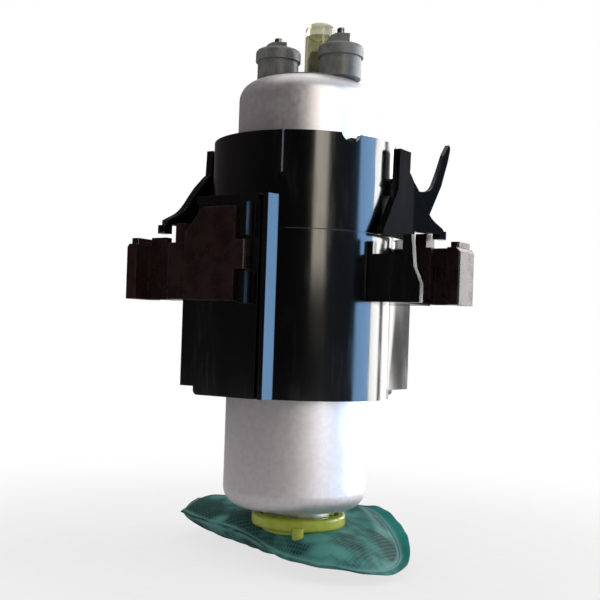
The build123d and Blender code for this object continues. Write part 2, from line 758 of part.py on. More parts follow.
def sock_section(inset, z):
    """The sock's outline, drawn in towards its middle by a share of its size."""
    middle_x, middle_y = SOCK_MIDDLE
    points = []
    for x, y in SOCK_OUTLINE:
        points.append((middle_x + (x - middle_x) * inset, middle_y + (y - middle_y) * inset))
    with BuildSketch(Plane.XY.offset(z)) as section:
        with BuildLine():
            Spline(*points, periodic=True)
        make_face()
    return section.sketch


def main():
    os.makedirs("parts", exist_ok=True)

    # Pump can with rolled-in ends
    with BuildPart() as pump_can:
        add(can_form(0))
        add(can_form(CAN_WALL), mode=Mode.SUBTRACT)
        with BuildSketch(Plane.XY.offset(CAN_BOTTOM - 1)):
            Circle(CAN_BOTTOM_HOLE_R)
        extrude(amount=CAN_CORNER, mode=Mode.SUBTRACT)
        with BuildSketch(Plane.XY.offset(CAN_TOP - CAN_CORNER)):
            Circle(CAN_TOP_HOLE_R)
        extrude(amount=2 * CAN_CORNER, mode=Mode.SUBTRACT)
    save(pump_can, "pump_can")

    # Carrier shells, split at the seam
    save(carrier_shell(SEAM_Z, SLEEVE_HALF, True), "carrier_upper_shell")
    save(carrier_shell(-SLEEVE_HALF, SEAM_Z, False), "carrier_lower_shell")

    # Rubber rings that hold the can in the sleeve; the upper one shows a tab at the scoop
    with BuildPart() as damper_ring_upper:
        with BuildSketch(Plane.XY.offset(UPPER_DAMPER[0])):
            Circle(SLEEVE_BORE_R)
            Circle(CAN_TOP_R, mode=Mode.SUBTRACT)
        extrude(amount=UPPER_DAMPER[1] - UPPER_DAMPER[0])
        with BuildSketch(Plane.XY.offset(UPPER_DAMPER[1] - 1)):
            with Locations(DAMPER_TAB):
                Rectangle(*DAMPER_TAB_SIZE, rotation=DAMPER_TAB_TURN)
        extrude(amount=DAMPER_TAB_TOP - UPPER_DAMPER[1] + 1)
    save(damper_ring_upper, "damper_ring_upper")
    save(tube(*LOWER_DAMPER, SLEEVE_BORE_R, CAN_R), "damper_ring_lower")

    # Guide shoes and latches; the rear shoe and the front latch are modelled as half turns
    save(guide_shoe(FRONT_HORN_X, *FRONT_ARM, True), "guide_shoe_front")
    with BuildPart() as guide_shoe_rear:
        add(guide_shoe(REAR_HORN_X, *REAR_ARM, False).part, rotation=(0, 0, 180))
    save(guide_shoe_rear, "guide_shoe_rear")
    with BuildPart() as latch_front:
        add(latch(False).part, rotation=(0, 0, 180))
    save(latch_front, "latch_front")
    save(latch(True), "latch_rear")

    # Pump cell
    with BuildPart() as inlet_cover:
        with BuildSketch(Plane.XY.offset(CAN_BOTTOM + CAN_WALL)):
            Circle(CAN_BORE_R)
        extrude(amount=CELL_LOW - CAN_BOTTOM - CAN_WALL)
        fillet(edges().group_by(Axis.Z)[0], INNER_FILLET)
        with BuildSketch(Plane.XY.offset(SPIGOT_LOW)):
            with Locations(INLET):
                Circle(SPIGOT_OUT_R)
        extrude(amount=CAN_BOTTOM + CAN_WALL - SPIGOT_LOW)
        with BuildSketch(Plane.XY.offset(SPIGOT_LOW)):
            with Locations(INLET):
                Circle(INLET_BORE_R)
        extrude(amount=INLET_DEPTH - SPIGOT_LOW, mode=Mode.SUBTRACT)
        radius, width, start, sweep_angle = INLET_SLOT
        with BuildSketch(Plane.XY.offset(INLET_SLOT_LOW)):
            SlotArc(CenterArc((0, 0), radius, start, sweep_angle), width)
        extrude(amount=CELL_LOW - INLET_SLOT_LOW, mode=Mode.SUBTRACT)
    save(inlet_cover, "pump_inlet_cover")

    with BuildPart() as cam_ring:
        with BuildSketch(Plane.XY.offset(CELL_LOW)):
            Circle(CAN_BORE_R)
            with Locations((ECCENTRICITY, 0)):
                Circle(OUTER_ROTOR_R + RUNNING_GAP, mode=Mode.SUBTRACT)
        extrude(amount=CELL_HIGH - CELL_LOW)
    save(cam_ring, "pump_cam_ring")

    with BuildPart() as outer_rotor:
        with BuildSketch(Plane.XY.offset(CELL_LOW + RUNNING_GAP / 2)):
            with Locations((ECCENTRICITY, 0)):
                Circle(OUTER_ROTOR_R)
            with BuildLine():
                Spline(*rotor_outline(LOBES + 1, ROTOR_GAP / 2, pi / (LOBES + 1), ECCENTRICITY),
                       periodic=True)
            make_face(mode=Mode.SUBTRACT)
        extrude(amount=CELL_HIGH - CELL_LOW - RUNNING_GAP)
    save(outer_rotor, "pump_outer_rotor")

    with BuildPart() as inner_rotor:
        with BuildSketch(Plane.XY.offset(CELL_LOW + RUNNING_GAP / 2)):
            with BuildLine():
                Spline(*rotor_outline(LOBES, -ROTOR_GAP / 2, 0, 0), periodic=True)
            make_face()
            Circle(SHAFT_R, mode=Mode.SUBTRACT)
        extrude(amount=CELL_HIGH - CELL_LOW - RUNNING_GAP)
    save(inner_rotor, "pump_inner_rotor")

    radius, width, start, sweep_angle = OUTLET_SLOT
    with BuildPart() as outlet_plate:
        with BuildSketch(Plane.XY.offset(CELL_HIGH)):
            Circle(CAN_BORE_R)
            Circle(BUSH_R, mode=Mode.SUBTRACT)
            SlotArc(CenterArc((0, 0), radius, start, sweep_angle), width, mode=Mode.SUBTRACT)
        extrude(amount=OUTLET_PLATE_TOP - CELL_HIGH)
    save(outlet_plate, "pump_outlet_plate")

    bush_bore_r = SHAFT_R + BUSH_GAP
    lower_bush_low = CELL_HIGH + LOWER_BUSH_SET_IN
    save(tube(lower_bush_low, OUTLET_PLATE_TOP, BUSH_R, bush_bore_r), "bearing_bush_lower")
    save(tube(*UPPER_BUSH, BUSH_R, bush_bore_r), "bearing_bush_upper")

    # Motor
    save(tube(OUTLET_PLATE_TOP, END_CAP_LOW, CAN_BORE_R, MAGNET_OUT_R), "motor_flux_ring")
    save(magnet(90), "field_magnet_left")
    save(magnet(-90), "field_magnet_right")
    with BuildPart() as magnet_clips:
        with BuildSketch(Plane.XY.offset(CORE_LOW)):
            with PolarLocations(0, 2):
                with Locations((CLIP_X, 0)):
                    Rectangle(*CLIP_SIZE)
                with Locations(CLIP_WING):
                    Rectangle(*CLIP_WING_SIZE, rotation=CLIP_WING_TURN)
                with Locations((CLIP_WING[0], -CLIP_WING[1])):
                    Rectangle(*CLIP_WING_SIZE, rotation=-CLIP_WING_TURN)
        extrude(amount=CORE_HIGH - CORE_LOW)
    save(magnet_clips, "magnet_clips")

    with BuildPart() as shaft:
        with BuildSketch(Plane.XY.offset(CELL_LOW + RUNNING_GAP)):
            Circle(SHAFT_R)
        extrude(amount=SHAFT_TOP - CELL_LOW - RUNNING_GAP)
        chamfer(edges().group_by(Axis.Z)[-1], SHAFT_CHAMFER)
    save(shaft, "armature_shaft")

    slot_middle = (SLOT_LOW_R + SLOT_HIGH_R) / 2
    slot_long = SLOT_HIGH_R - SLOT_LOW_R
    with BuildPart() as core:
        with BuildSketch(Plane.XY.offset(CORE_LOW)):
            Circle(CORE_R)
            Circle(SHAFT_R, mode=Mode.SUBTRACT)
            with PolarLocations(slot_middle, SLOTS):
                Rectangle(slot_long, SLOT_WIDE, mode=Mode.SUBTRACT)
            with PolarLocations(CORE_R, SLOTS):
                Rectangle(*SLOT_MOUTH, mode=Mode.SUBTRACT)
        extrude(amount=CORE_HIGH - CORE_LOW)
    save(core, "armature_core")

    with BuildPart() as windings:
        with BuildSketch(Plane.XY.offset(CORE_LOW)):
            with PolarLocations(slot_middle, SLOTS):
                Rectangle(slot_long - 2 * WINDING_GAP, SLOT_WIDE - 2 * WINDING_GAP)
        extrude(amount=CORE_HIGH - CORE_LOW)
        with BuildSketch(Plane.XY.offset(CORE_LOW - WINDING_END)):
            Circle(SLOT_HIGH_R)
            Circle(WINDING_IN_R, mode=Mode.SUBTRACT)
        extrude(amount=WINDING_END)
        with BuildSketch(Plane.XY.offset(CORE_HIGH)):
            Circle(SLOT_HIGH_R)
            Circle(WINDING_IN_R, mode=Mode.SUBTRACT)
        extrude(amount=COMMUTATOR_LOW - CORE_HIGH - WINDING_GAP)
        fillet(edges().group_by(Axis.Z)[0], WINDING_CORNER)
    save(windings, "armature_windings")

    with BuildPart() as commutator:
        with BuildSketch(Plane.XY.offset(COMMUTATOR_LOW)):
            Circle(COMMUTATOR_R)
            Circle(SHAFT_R, mode=Mode.SUBTRACT)
        extrude(amount=COMMUTATOR_TOP - COMMUTATOR_LOW)
        with BuildSketch(Plane.XY.offset(COMMUTATOR_TOP - SEGMENT_DEPTH)):
            with PolarLocations(SEGMENT_MIDDLE_R, SLOTS):
                Rectangle(SEGMENT_LONG, SEGMENT_GAP)
        extrude(amount=SEGMENT_DEPTH, mode=Mode.SUBTRACT)
    save(commutator, "commutator")

    # Grey end cap that carries the brushes, the valves and the terminals
    with BuildPart() as end_cap:
        with BuildSketch(Plane.XY.offset(END_CAP_LOW)):
            Circle(END_CAP_R)
        extrude(amount=END_CAP_HIGH - END_CAP_LOW)
        fillet(edges().group_by(Axis.Z)[-1], INNER_FILLET)
        with BuildSketch(Plane.XY.offset(END_CAP_HIGH - 1)):
            Circle(CAN_TOP_HOLE_R - CAP_RIM_GAP)
        extrude(amount=CAP_FACE - END_CAP_HIGH + 1)
        with BuildSketch(Plane.XY.offset(CAP_FACE)):
            with Locations(*TERMINALS.values()):
                Circle(STEM_R)
        extrude(amount=STEM_SHOULDER - CAP_FACE)
        with BuildSketch(Plane.XY.offset(STEM_SHOULDER)):
            with Locations(*TERMINALS.values()):
                Circle(SPIGOT_R)
        extrude(amount=STEM_TOP - STEM_SHOULDER)
        with BuildSketch(Plane.XY.offset(CHOKE_LOW)):
            with Locations(*TERMINALS.values()):
                Circle(CHOKE_R)
        extrude(amount=STEM_TOP - CHOKE_LOW, mode=Mode.SUBTRACT)
        with BuildSketch(Plane.XY.offset(END_CAP_LOW)):
            Circle(BUSH_R)
        extrude(amount=UPPER_BUSH[1] - END_CAP_LOW, mode=Mode.SUBTRACT)
        with BuildSketch(Plane.XY.offset(END_CAP_LOW)):
            with Locations((BRUSH_X, 0), (-BRUSH_X, 0)):
                Rectangle(BRUSH_SIZE[0] + BRUSH_GAP, BRUSH_SIZE[1] + BRUSH_GAP)
        extrude(amount=BRUSH_WELL_TOP - END_CAP_LOW, mode=Mode.SUBTRACT)
        with BuildSketch(Plane.XY.offset(END_CAP_LOW)):
            with Locations(OUTLET):
                Circle(OUTLET_PASSAGE_R)
        extrude(amount=CAP_FACE - END_CAP_LOW, mode=Mode.SUBTRACT)
        with BuildSketch(Plane.XY.offset(NIPPLE_LOW)):
            with Locations(OUTLET):
                Circle(NIPPLE_R)
        extrude(amount=CAP_FACE - NIPPLE_LOW, mode=Mode.SUBTRACT)
        with BuildSketch(Plane.XY.offset(END_CAP_LOW)):
            with Locations(RELIEF):
                Circle(RELIEF_BORE_R)
        extrude(amount=RELIEF_TOP - END_CAP_LOW, mode=Mode.SUBTRACT)
        with BuildSketch(Plane.XY.offset(RELIEF_TOP)):
            with Locations(RELIEF):
                Circle(RELIEF_VENT_R)
        extrude(amount=CAP_FACE - RELIEF_TOP, mode=Mode.SUBTRACT)
    save(end_cap, "pump_end_cap")

    # Brushes with their springs, chokes, collars and studs
    for side, sign in (("left", -1), ("right", 1)):
        with BuildPart() as brush:
            with BuildSketch(Plane.XY.offset(BRUSH_LOW)):
                with Locations((sign * BRUSH_X, 0)):
                    Rectangle(*BRUSH_SIZE)
            extrude(amount=BRUSH_HIGH - BRUSH_LOW)
        save(brush, f"carbon_brush_{side}")
        spring = coil_spring(BRUSH_HIGH, BRUSH_WELL_TOP, *BRUSH_SPRING, (sign * BRUSH_X, 0))
        save(spring, f"brush_spring_{side}")
        save(rod(CHOKE_LOW, CHOKE_HIGH, CHOKE_R, TERMINALS[side]), f"suppression_choke_{side}")
        save(terminal_collar(side), f"terminal_collar_{side}")
        save(terminal_stud(side), f"terminal_stud_{side}")

    # Outlet nipple with its barb, and the check valve inside it
    nipple_x, nipple_y = OUTLET
    with BuildPart() as nipple:
        with BuildSketch(Plane.XZ.offset(-nipple_y)):
            with BuildLine():
                Polyline(
                    (nipple_x + NIPPLE_BORE_R, NIPPLE_LOW),
                    (nipple_x + NIPPLE_R, NIPPLE_LOW),
                    (nipple_x + NIPPLE_R, BARB[0]),
                    (nipple_x + BARB_R, BARB[1]),
                    (nipple_x + BARB_R, BARB[2]),
                    (nipple_x + NIPPLE_TIP_R, NIPPLE_TOP),
                    (nipple_x + NIPPLE_MOUTH_R, NIPPLE_TOP),
                    (nipple_x + NIPPLE_MOUTH_R, VALVE_SPRING_TOP),
                    (nipple_x + NIPPLE_BORE_R, VALVE_SPRING_TOP),
                    close=True,
                )
            make_face()
        revolve(axis=Axis((nipple_x, nipple_y, 0), (0, 0, 1)))
    save(nipple, "outlet_nipple")
    save(tube(*VALVE_SEAT, NIPPLE_BORE_R, VALVE_SEAT_R, OUTLET), "check_valve_seat")

    disc_r, disc_thick = POPPET_DISC
    disc_low = VALVE_SEAT[1] + POPPET_GAP
    disc_high = disc_low + disc_thick
    with BuildPart() as poppet:
        with BuildSketch(Plane.XY.offset(disc_low)):
            with Locations(OUTLET):
                Circle(disc_r)
        extrude(amount=disc_thick)
        with BuildSketch(Plane.XY.offset(disc_low)):
            with Locations(OUTLET):
                Circle(POPPET_STEM_R)
        extrude(amount=POPPET_TOP - disc_low)
    save(poppet, "check_valve_poppet")
    save(coil_spring(disc_high, VALVE_SPRING_TOP, *VALVE_SPRING, OUTLET), "check_valve_spring")

    with BuildPart() as transit_cap:
        with BuildSketch(Plane.XY.offset(TRANSIT_LOW)):
            with Locations(OUTLET):
                Circle(TRANSIT_R)
        extrude(amount=TRANSIT_TOP - TRANSIT_LOW)
        fillet(edges().group_by(Axis.Z)[-1], TRANSIT_EDGE_R)
        with BuildSketch(Plane.XY.offset(TRANSIT_LOW)):
            with Locations(OUTLET):
                Circle(TRANSIT_BORE_R)
        extrude(amount=TRANSIT_ROOF - TRANSIT_LOW, mode=Mode.SUBTRACT)
    save(transit_cap, "outlet_transit_cap")

    # Relief valve
    ball_lift = sqrt(RELIEF_BALL_R ** 2 - RELIEF_SEAT_R ** 2) + RELIEF_BALL_GAP
    ball_z = RELIEF_SEAT[1] + ball_lift
    save(tube(*RELIEF_SEAT, RELIEF_BORE_R, RELIEF_SEAT_R, RELIEF), "relief_valve_seat")
    with BuildPart() as ball:
        with Locations((RELIEF[0], RELIEF[1], ball_z)):
            Sphere(RELIEF_BALL_R)
    save(ball, "relief_valve_ball")
    spring = coil_spring(ball_z + RELIEF_BALL_R, RELIEF_TOP, *RELIEF_SPRING, RELIEF)
    save(spring, "relief_valve_spring")

    # Inlet ring of the filter, with its peg
    peg_place = Vector(*INLET) + Vector(RING_R, 0).rotate(Axis.Z, PEG_ANGLE)
    with BuildPart() as ring:
        with BuildSketch(Plane.XY.offset(RING_LOW)):
            with Locations(INLET):
                Circle(RING_R)
        extrude(amount=RING_HIGH - RING_LOW)
        fillet(edges().group_by(Axis.Z)[-1], RING_EDGE_R)
        fillet(edges().group_by(Axis.Z)[0], RING_EDGE_R)
        with BuildSketch(Plane.XY.offset(RING_LOW + RING_FLOOR)):
            with Locations(INLET):
                Circle(RING_R - RING_WALL)
        extrude(amount=RING_HIGH - RING_LOW, mode=Mode.SUBTRACT)
        with BuildSketch(Plane.XY.offset(NECK_BOTTOM)):
            with Locations(INLET):
                Circle(NECK_R)
        extrude(amount=RING_LOW - NECK_BOTTOM)
        with BuildSketch(Plane.XY.offset(RING_LOW)):
            with Locations(INLET):
                Circle(SPIGOT_OUT_R + RING_HUB_WALL)
        extrude(amount=RING_HIGH - RING_LOW)
        with BuildSketch(Plane.XY.offset(PEG_BOTTOM)):
            with Locations((peg_place.X, peg_place.Y)):
                Circle(PEG_R)
        extrude(amount=PEG_HIGH)
        with BuildSketch(Plane.XY.offset(NECK_BOTTOM)):
            with Locations(INLET):
                Circle(SPIGOT_OUT_R)
        extrude(amount=RING_HIGH - NECK_BOTTOM, mode=Mode.SUBTRACT)
    save(ring, "sock_inlet_ring")

    # Skeleton that keeps the filter bag open, tilted with it
    tilt_axis = Axis((*INLET, SOCK_TOP_Z), SOCK_TILT_WAY)
    with BuildPart() as level_frame:
        with BuildSketch(Plane.XY.offset(FRAME_LOW)):
            with Locations(INLET):
                Circle(FRAME_RING_R)
                Circle(FRAME_HOLE_R, mode=Mode.SUBTRACT)
            for turn, reach in FRAME_RIBS:
                root = Vector(*INLET) + Vector(FRAME_RIB_ROOT, 0).rotate(Axis.Z, turn)
                tip = Vector(*INLET) + Vector(FRAME_RIB_ROOT + reach, 0).rotate(Axis.Z, turn)
                with BuildLine():
                    Line((root.X, root.Y), (tip.X, tip.Y))
                trace(line_width=FRAME_RIB_WIDE)
        extrude(amount=FRAME_THICK)
    with BuildPart() as sock_frame:
        add(level_frame.part.rotate(tilt_axis, SOCK_TILT))
    save(sock_frame, "sock_frame")

    # Filter bag: a lens between a flat crown and a flat base, widest at its welded seam
    with BuildPart() as level_sock:
        loft([sock_section(SOCK_CROWN, SOCK_TOP_Z), sock_section(1, SOCK_SEAM_Z)], ruled=True)
        loft([sock_section(1, SOCK_SEAM_Z), sock_section(SOCK_BASE, SOCK_LOW_Z)], ruled=True)
    with BuildPart() as sock:
        add(level_sock.part.rotate(tilt_axis, SOCK_TILT))
        add(sock_frame.part, mode=Mode.SUBTRACT)
        with BuildSketch(Plane.XY.offset(NECK_BOTTOM)):
            with Locations(INLET):
                Circle(NECK_R)
        extrude(amount=RING_LOW - NECK_BOTTOM, mode=Mode.SUBTRACT)
        with BuildSketch(Plane.XY.offset(FRAME_LOW + FRAME_THICK)):
            with Locations(INLET):
                Circle(FRAME_HOLE_R)
        extrude(amount=NECK_BOTTOM - FRAME_LOW - FRAME_THICK, mode=Mode.SUBTRACT)
    save(sock, "filter_sock")


main()
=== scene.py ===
import json
from math import atan2, cos, floor, hypot, pi, radians, sin

import bpy
from mathutils import Matrix, Quaternion, Vector


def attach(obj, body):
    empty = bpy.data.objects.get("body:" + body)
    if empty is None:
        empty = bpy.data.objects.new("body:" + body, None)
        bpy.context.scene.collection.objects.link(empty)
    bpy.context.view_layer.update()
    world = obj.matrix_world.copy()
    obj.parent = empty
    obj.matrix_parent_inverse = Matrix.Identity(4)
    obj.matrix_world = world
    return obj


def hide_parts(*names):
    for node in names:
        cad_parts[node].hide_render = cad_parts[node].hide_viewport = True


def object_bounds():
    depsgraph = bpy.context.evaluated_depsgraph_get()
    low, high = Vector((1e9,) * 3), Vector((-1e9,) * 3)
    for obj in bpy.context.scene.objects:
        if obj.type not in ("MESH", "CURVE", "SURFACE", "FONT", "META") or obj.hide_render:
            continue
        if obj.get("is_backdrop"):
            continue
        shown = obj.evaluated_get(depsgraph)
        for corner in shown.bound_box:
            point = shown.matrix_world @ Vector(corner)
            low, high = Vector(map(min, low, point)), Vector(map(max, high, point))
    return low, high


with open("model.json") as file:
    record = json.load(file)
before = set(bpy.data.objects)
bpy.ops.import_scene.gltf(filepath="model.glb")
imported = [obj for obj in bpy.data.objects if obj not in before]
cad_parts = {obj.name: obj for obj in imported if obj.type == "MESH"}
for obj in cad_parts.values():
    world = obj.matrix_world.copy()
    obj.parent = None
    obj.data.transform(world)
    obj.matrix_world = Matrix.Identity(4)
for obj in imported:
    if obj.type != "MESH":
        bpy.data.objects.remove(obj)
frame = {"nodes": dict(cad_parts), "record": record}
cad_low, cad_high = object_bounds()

# In-tank fuel pump: metres, Z up, the pump's axis at the origin

# The camera stands this far from the pump's axis, at this height, turned to the right of the front
CAMERA_DISTANCE = 0.290
CAMERA_AZIMUTH = radians(33.5)
CAMERA_HEIGHT = -0.01875
CAMERA_ROLL = radians(1.95)
FOCAL_PIXELS = 980
FRAME_PIXELS = 600
SENSOR = 36.0
SHIFT_X = 0.0012
SHIFT_Y = 0.0582

# Lamps: turn to the right of the camera in degrees, size, height of the middle, radiance.
# Cards light by reflection alone, and softboxes by soft light alone.
LAMP_DISTANCE = 0.85
CARDS = {
    "cream_card": (20, (0.25, 0.62), 0.36, (3.9, 3.6, 3.0)),
    "blue_card": (83, (0.37, 1.10), 0.05, (1.5, 2.9, 5.0)),
    "pale_card": (106, (0.28, 1.10), 0.05, (8.2, 8.2, 8.0)),
    "white_card": (135, (0.34, 1.10), 0.05, (5.4, 5.2, 5.0)),
}
# A card that lights the aluminium can alone
CAN_CARD = (44, (0.32, 1.10), 0.05, (3.3, 3.4, 3.5))
# The cards don't light the latches
SHADED = ("latch_front", "latch_rear")
SOFTBOXES = {
    "right_softbox": (82, (0.60, 0.90), 0.30, (2.6, 2.6, 2.6)),
    "left_softbox": (-120, (0.45, 0.90), 0.25, (1.10, 0.98, 1.0)),
}
TOP_HEIGHT = 0.8
TOP_SIZE = 0.9
TOP_RADIANCE = 0.9
WORLD_DIFFUSE = 0.42

# What glossy surfaces see round the room: turn to the right of the camera, colour
ROOM = (
    (-180, (0.25, 0.23, 0.24)), (-150, (0.07, 0.06, 0.06)), (-95, (0.05, 0.04, 0.04)),
    (-66, (0.03, 0.028, 0.028)), (-40, (0.015, 0.015, 0.015)), (8, (0.015, 0.015, 0.015)),
    (34, (0.06, 0.07, 0.08)), (66, (0.06, 0.08, 0.11)), (112, (0.06, 0.07, 0.09)),
    (126, (0.20, 0.21, 0.22)), (138, (1.0, 1.0, 1.0)), (166, (1.0, 1.0, 1.0)),
    (180, (0.25, 0.23, 0.24)),
)

# The floor fades to white between two distances, and its lit side shows in reflections
FLOOR_HALF = 0.42
FLOOR_DROP = 0.0003
FLOOR_NEAR = 0.09
FLOOR_FAR = 0.26
FLOOR_GLOW = 0.72
FLOOR_LIT_TURN = 110
FLOOR_LIT_FROM = -0.10
FLOOR_LIT_TO = 0.20
FLOOR_GREYS = ((0.54, 0.54, 0.54), (0.58, 0.58, 0.58))

# Rounding of moulded edges: how wide it is, the least angle that is rounded, and its steps
BEVELS = {
    "carrier_upper_shell": 0.00022, "carrier_lower_shell": 0.00022,
    "guide_shoe_front": 0.00030, "guide_shoe_rear": 0.00030,
    "latch_front": 0.00022, "latch_rear": 0.00022,
    "terminal_collar_left": 0.00015, "terminal_collar_right": 0.00015,
    "pump_end_cap": 0.00015,
}
BEVEL_ANGLE = radians(40)
BEVEL_STEPS = 2
WELD_REACH = 0.000002
NORMAL_WEIGHT = 50

# Where most of a noise's values lie
NOISE_LOW = 0.3
NOISE_HIGH = 0.7

# A worn edge shows where the rounded normal leans away: the cosines where it starts and is full
EDGE_START = 0.995
EDGE_FULL = 0.90
EDGE_SAMPLES = 4

# Colours of the materials. A pair is the dark and the light end of a mottle
CAN_GREYS = ((0.70, 0.66, 0.67), (0.77, 0.74, 0.75))
CAN_CLOUD = (0.66, 0.61, 0.63)
CAN_PIT = (0.03, 0.03, 0.03)
CARRIER_BLACKS = ((0.0012, 0.0012, 0.0016), (0.0045, 0.0045, 0.0052))
CARRIER_DUST = (0.08, 0.08, 0.08)
CARRIER_EDGE = (0.012, 0.012, 0.014)
SHOE_BROWNS = ((0.0120, 0.0042, 0.0034), (0.0210, 0.0080, 0.0066))
SHOE_EDGE = (0.060, 0.034, 0.030)
RUBBER_BLACKS = ((0.018, 0.018, 0.018), (0.050, 0.050, 0.048))
CAP_GREYS = ((0.130, 0.130, 0.120), (0.200, 0.200, 0.188))
NIPPLE_GREYS = ((0.030, 0.030, 0.028), (0.060, 0.060, 0.056))
STUD_GREYS = ((0.20, 0.19, 0.17), (0.42, 0.40, 0.37))
TRANSIT_CAP_TINTS = ((0.42, 0.42, 0.27), (0.52, 0.51, 0.36))
INLET_RING_TINTS = ((0.55, 0.62, 0.05), (0.70, 0.76, 0.12))
STEEL_GREYS = ((0.36, 0.36, 0.36), (0.52, 0.52, 0.52))
FERRITE_GREYS = ((0.045, 0.045, 0.050), (0.090, 0.090, 0.095))
COPPER_REDS = ((0.48, 0.20, 0.09), (0.72, 0.36, 0.20))
BRONZE_BROWNS = ((0.34, 0.23, 0.12), (0.55, 0.38, 0.20))
CARBON_BLACKS = ((0.015, 0.015, 0.015), (0.040, 0.040, 0.040))
SOCK_GREENS = ((0.007, 0.045, 0.039), (0.085, 0.300, 0.262))
SOCK_THREAD = (0.130, 0.360, 0.320)
# Painted backlight: the bright teal of light shining through the thin rim
SOCK_RIM_BACKLIGHT = (0.012, 0.235, 0.200)
SOCK_WELD = (0.150, 0.350, 0.335)

# How far red, green and blue light scatters in the clear plastics, and how much they bend it
CLEAR_SCATTER = (0.004, 0.004, 0.001)
CLEAR_IOR = 1.46

# Filter bag. Its outline is given level, with the lift of each corner, and then tilted
SOCK_OUTLINE = (
    (-0.0505, 0.0215, -0.0008), (-0.0520, 0.0185, -0.0010), (-0.0470, 0.0060, -0.0011),
    (-0.0445, 0.0025, -0.0010), (-0.0300, -0.0050, 0.0002), (-0.0120, -0.0120, 0.0020),
    (0.0080, -0.0175, 0.0), (0.0240, -0.0170, 0.0), (0.0340, -0.0090, -0.0012),
    (0.0360, 0.0040, -0.0010), (0.0300, 0.0170, 0.0017), (0.0200, 0.0290, 0.0042),
    (0.0070, 0.0360, 0.0052), (-0.0110, 0.0360, 0.0032), (-0.0340, 0.0300, 0.0015),
)
SOCK_MIDDLE = (-0.0030, 0.0100)
SOCK_PIVOT = (0.0013, 0.0009, -0.0765)
SOCK_TILT = radians(4.0)
SOCK_TILT_WAY = (0.38, 0.92, 0)
SOCK_SEAM_Z = -0.0790
SOCK_TOP_HIGH = 0.0050
SOCK_TOP_FULLNESS = 4.5
SOCK_TOP_SOFTNESS = 0.8
SOCK_BASE_Z = -0.0838
SOCK_BASE_FULLNESS = 2.8
SOCK_SCALLOP = 0.12
SOCK_SLACK = 0.4
SOCK_PUCKER = 0.00016
SOCK_SAG = 0.00030
SOCK_STEPS = 240
SOCK_RINGS = 30
RING_CROWDING = 1.5
# The cloth is drawn up round the inlet ring
INLET_REACH = 0.0100
INLET_SLOPE = 0.0120
INLET_LIFT = 0.0009
# The rim outside the weld, wide on one side of the bag
MARGIN_NARROW = 0.0009
MARGIN_WIDE = 0.0048
MARGIN_MIDDLE = radians(28)
MARGIN_SPREAD = radians(75)
MARGIN_THICK = 0.00045
MARGIN_EDGE = 0.6
MARGIN_WAVE = 0.00045
MARGIN_RIPPLE = 0.00015
SEAM_RIDGE = 0.00030
# A long crease inside the wide rim: where it runs, its slopes on both sides and its height
CREASE_SHARE = 0.76
CREASE_INNER = 0.17
CREASE_OUTER = 0.12
CREASE_HIGH = 0.0012
# How steeply the relief, the inlet's collar and the rim's painted backlight set in away from the weld
RELIEF_FADE = 12
COLLAR_FADE = 6
RIM_BACKLIGHT_FADE = 2.5
# How far the pale weld line reaches inwards, as a share of the way out
WELD_LINE = 0.03
WEAVE_PITCH = 0.00105


def make_camera():
    """The photograph's view: level with the sleeve, from the front and a little to the right."""
    data = bpy.data.cameras.new("camera")
    data.sensor_width = SENSOR
    data.lens = FOCAL_PIXELS / FRAME_PIXELS * SENSOR
    data.shift_x = SHIFT_X
    data.shift_y = SHIFT_Y
    data.clip_start = 0.01
    camera = bpy.data.objects.new("camera", data)
    bpy.context.scene.collection.objects.link(camera)
    side = turned_way(0)
    camera.location = side * CAMERA_DISTANCE + Vector((0, 0, CAMERA_HEIGHT))
    camera.rotation_mode = "QUATERNION"
    level = (-side).to_track_quat("-Z", "Y")
    camera.rotation_quaternion = level @ Quaternion((0, 0, 1), CAMERA_ROLL)
    bpy.context.scene.camera = camera


def turned_way(degrees):
    """The level direction from the pump, turned to the right of the camera."""
    angle = CAMERA_AZIMUTH + radians(degrees)
    return Vector((sin(angle), -cos(angle), 0))


# Shader nodes

def put(tree, socket, value):
    """Links a socket to another, or sets it."""
    if isinstance(value, bpy.types.NodeSocket):
        tree.links.new(value, socket)
    else:
        socket.default_value = value


def add(tree, kind, inputs, **settings):
    """A new shader node with its settings and inputs."""
    made = tree.nodes.new("ShaderNode" + kind)
    for name, value in settings.items():
        setattr(made, name, value)
    for key, value in inputs.items():
        put(tree, made.inputs[key], value)
    return made


def place(tree, stretch=(1, 1, 1)):
    """Coordinates fixed to the object, stretched."""
    coords = add(tree, "TexCoord", {}).outputs["Object"]
    return add(tree, "Mapping", {"Vector": coords, "Scale": stretch}).outputs["Vector"]


def noise(tree, size, detail, stretch=(1, 1, 1)):
    """Noise whose features are about size metres across."""
    inputs = {"Vector": place(tree, stretch), "Scale": 1 / size, "Detail": detail}
    return add(tree, "TexNoise", inputs).outputs["Fac"]


def remap(tree, value, from_low, from_high, to_low=0.0, to_high=1.0):
    """One range mapped smoothly to another."""
    inputs = {
        "Value": value,
        "From Min": from_low,
        "From Max": from_high,
        "To Min": to_low,
        "To Max": to_high,
    }
    return add(tree, "MapRange", inputs, interpolation_type="SMOOTHSTEP").outputs["Result"]


def spread(tree, value, low=0.0, high=1.0):
    """The usual range of a noise mapped to low and high."""
    return remap(tree, value, NOISE_LOW, NOISE_HIGH, low, high)


def blend_colours(tree, factor, first, second):
    """The first colour where factor is 0, and the second where it is 1."""
    made = tree.nodes.new("ShaderNodeMix")
    made.data_type = "RGBA"
    put(tree, made.inputs[0], factor)
    put(tree, made.inputs[6], (*first, 1) if isinstance(first, tuple) else first)
    put(tree, made.inputs[7], (*second, 1) if isinstance(second, tuple) else second)
    return made.outputs[2]


def combine(tree, operation, first, second):
    """Two values put together by one operation."""
    return add(tree, "Math", {0: first, 1: second}, operation=operation).outputs[0]


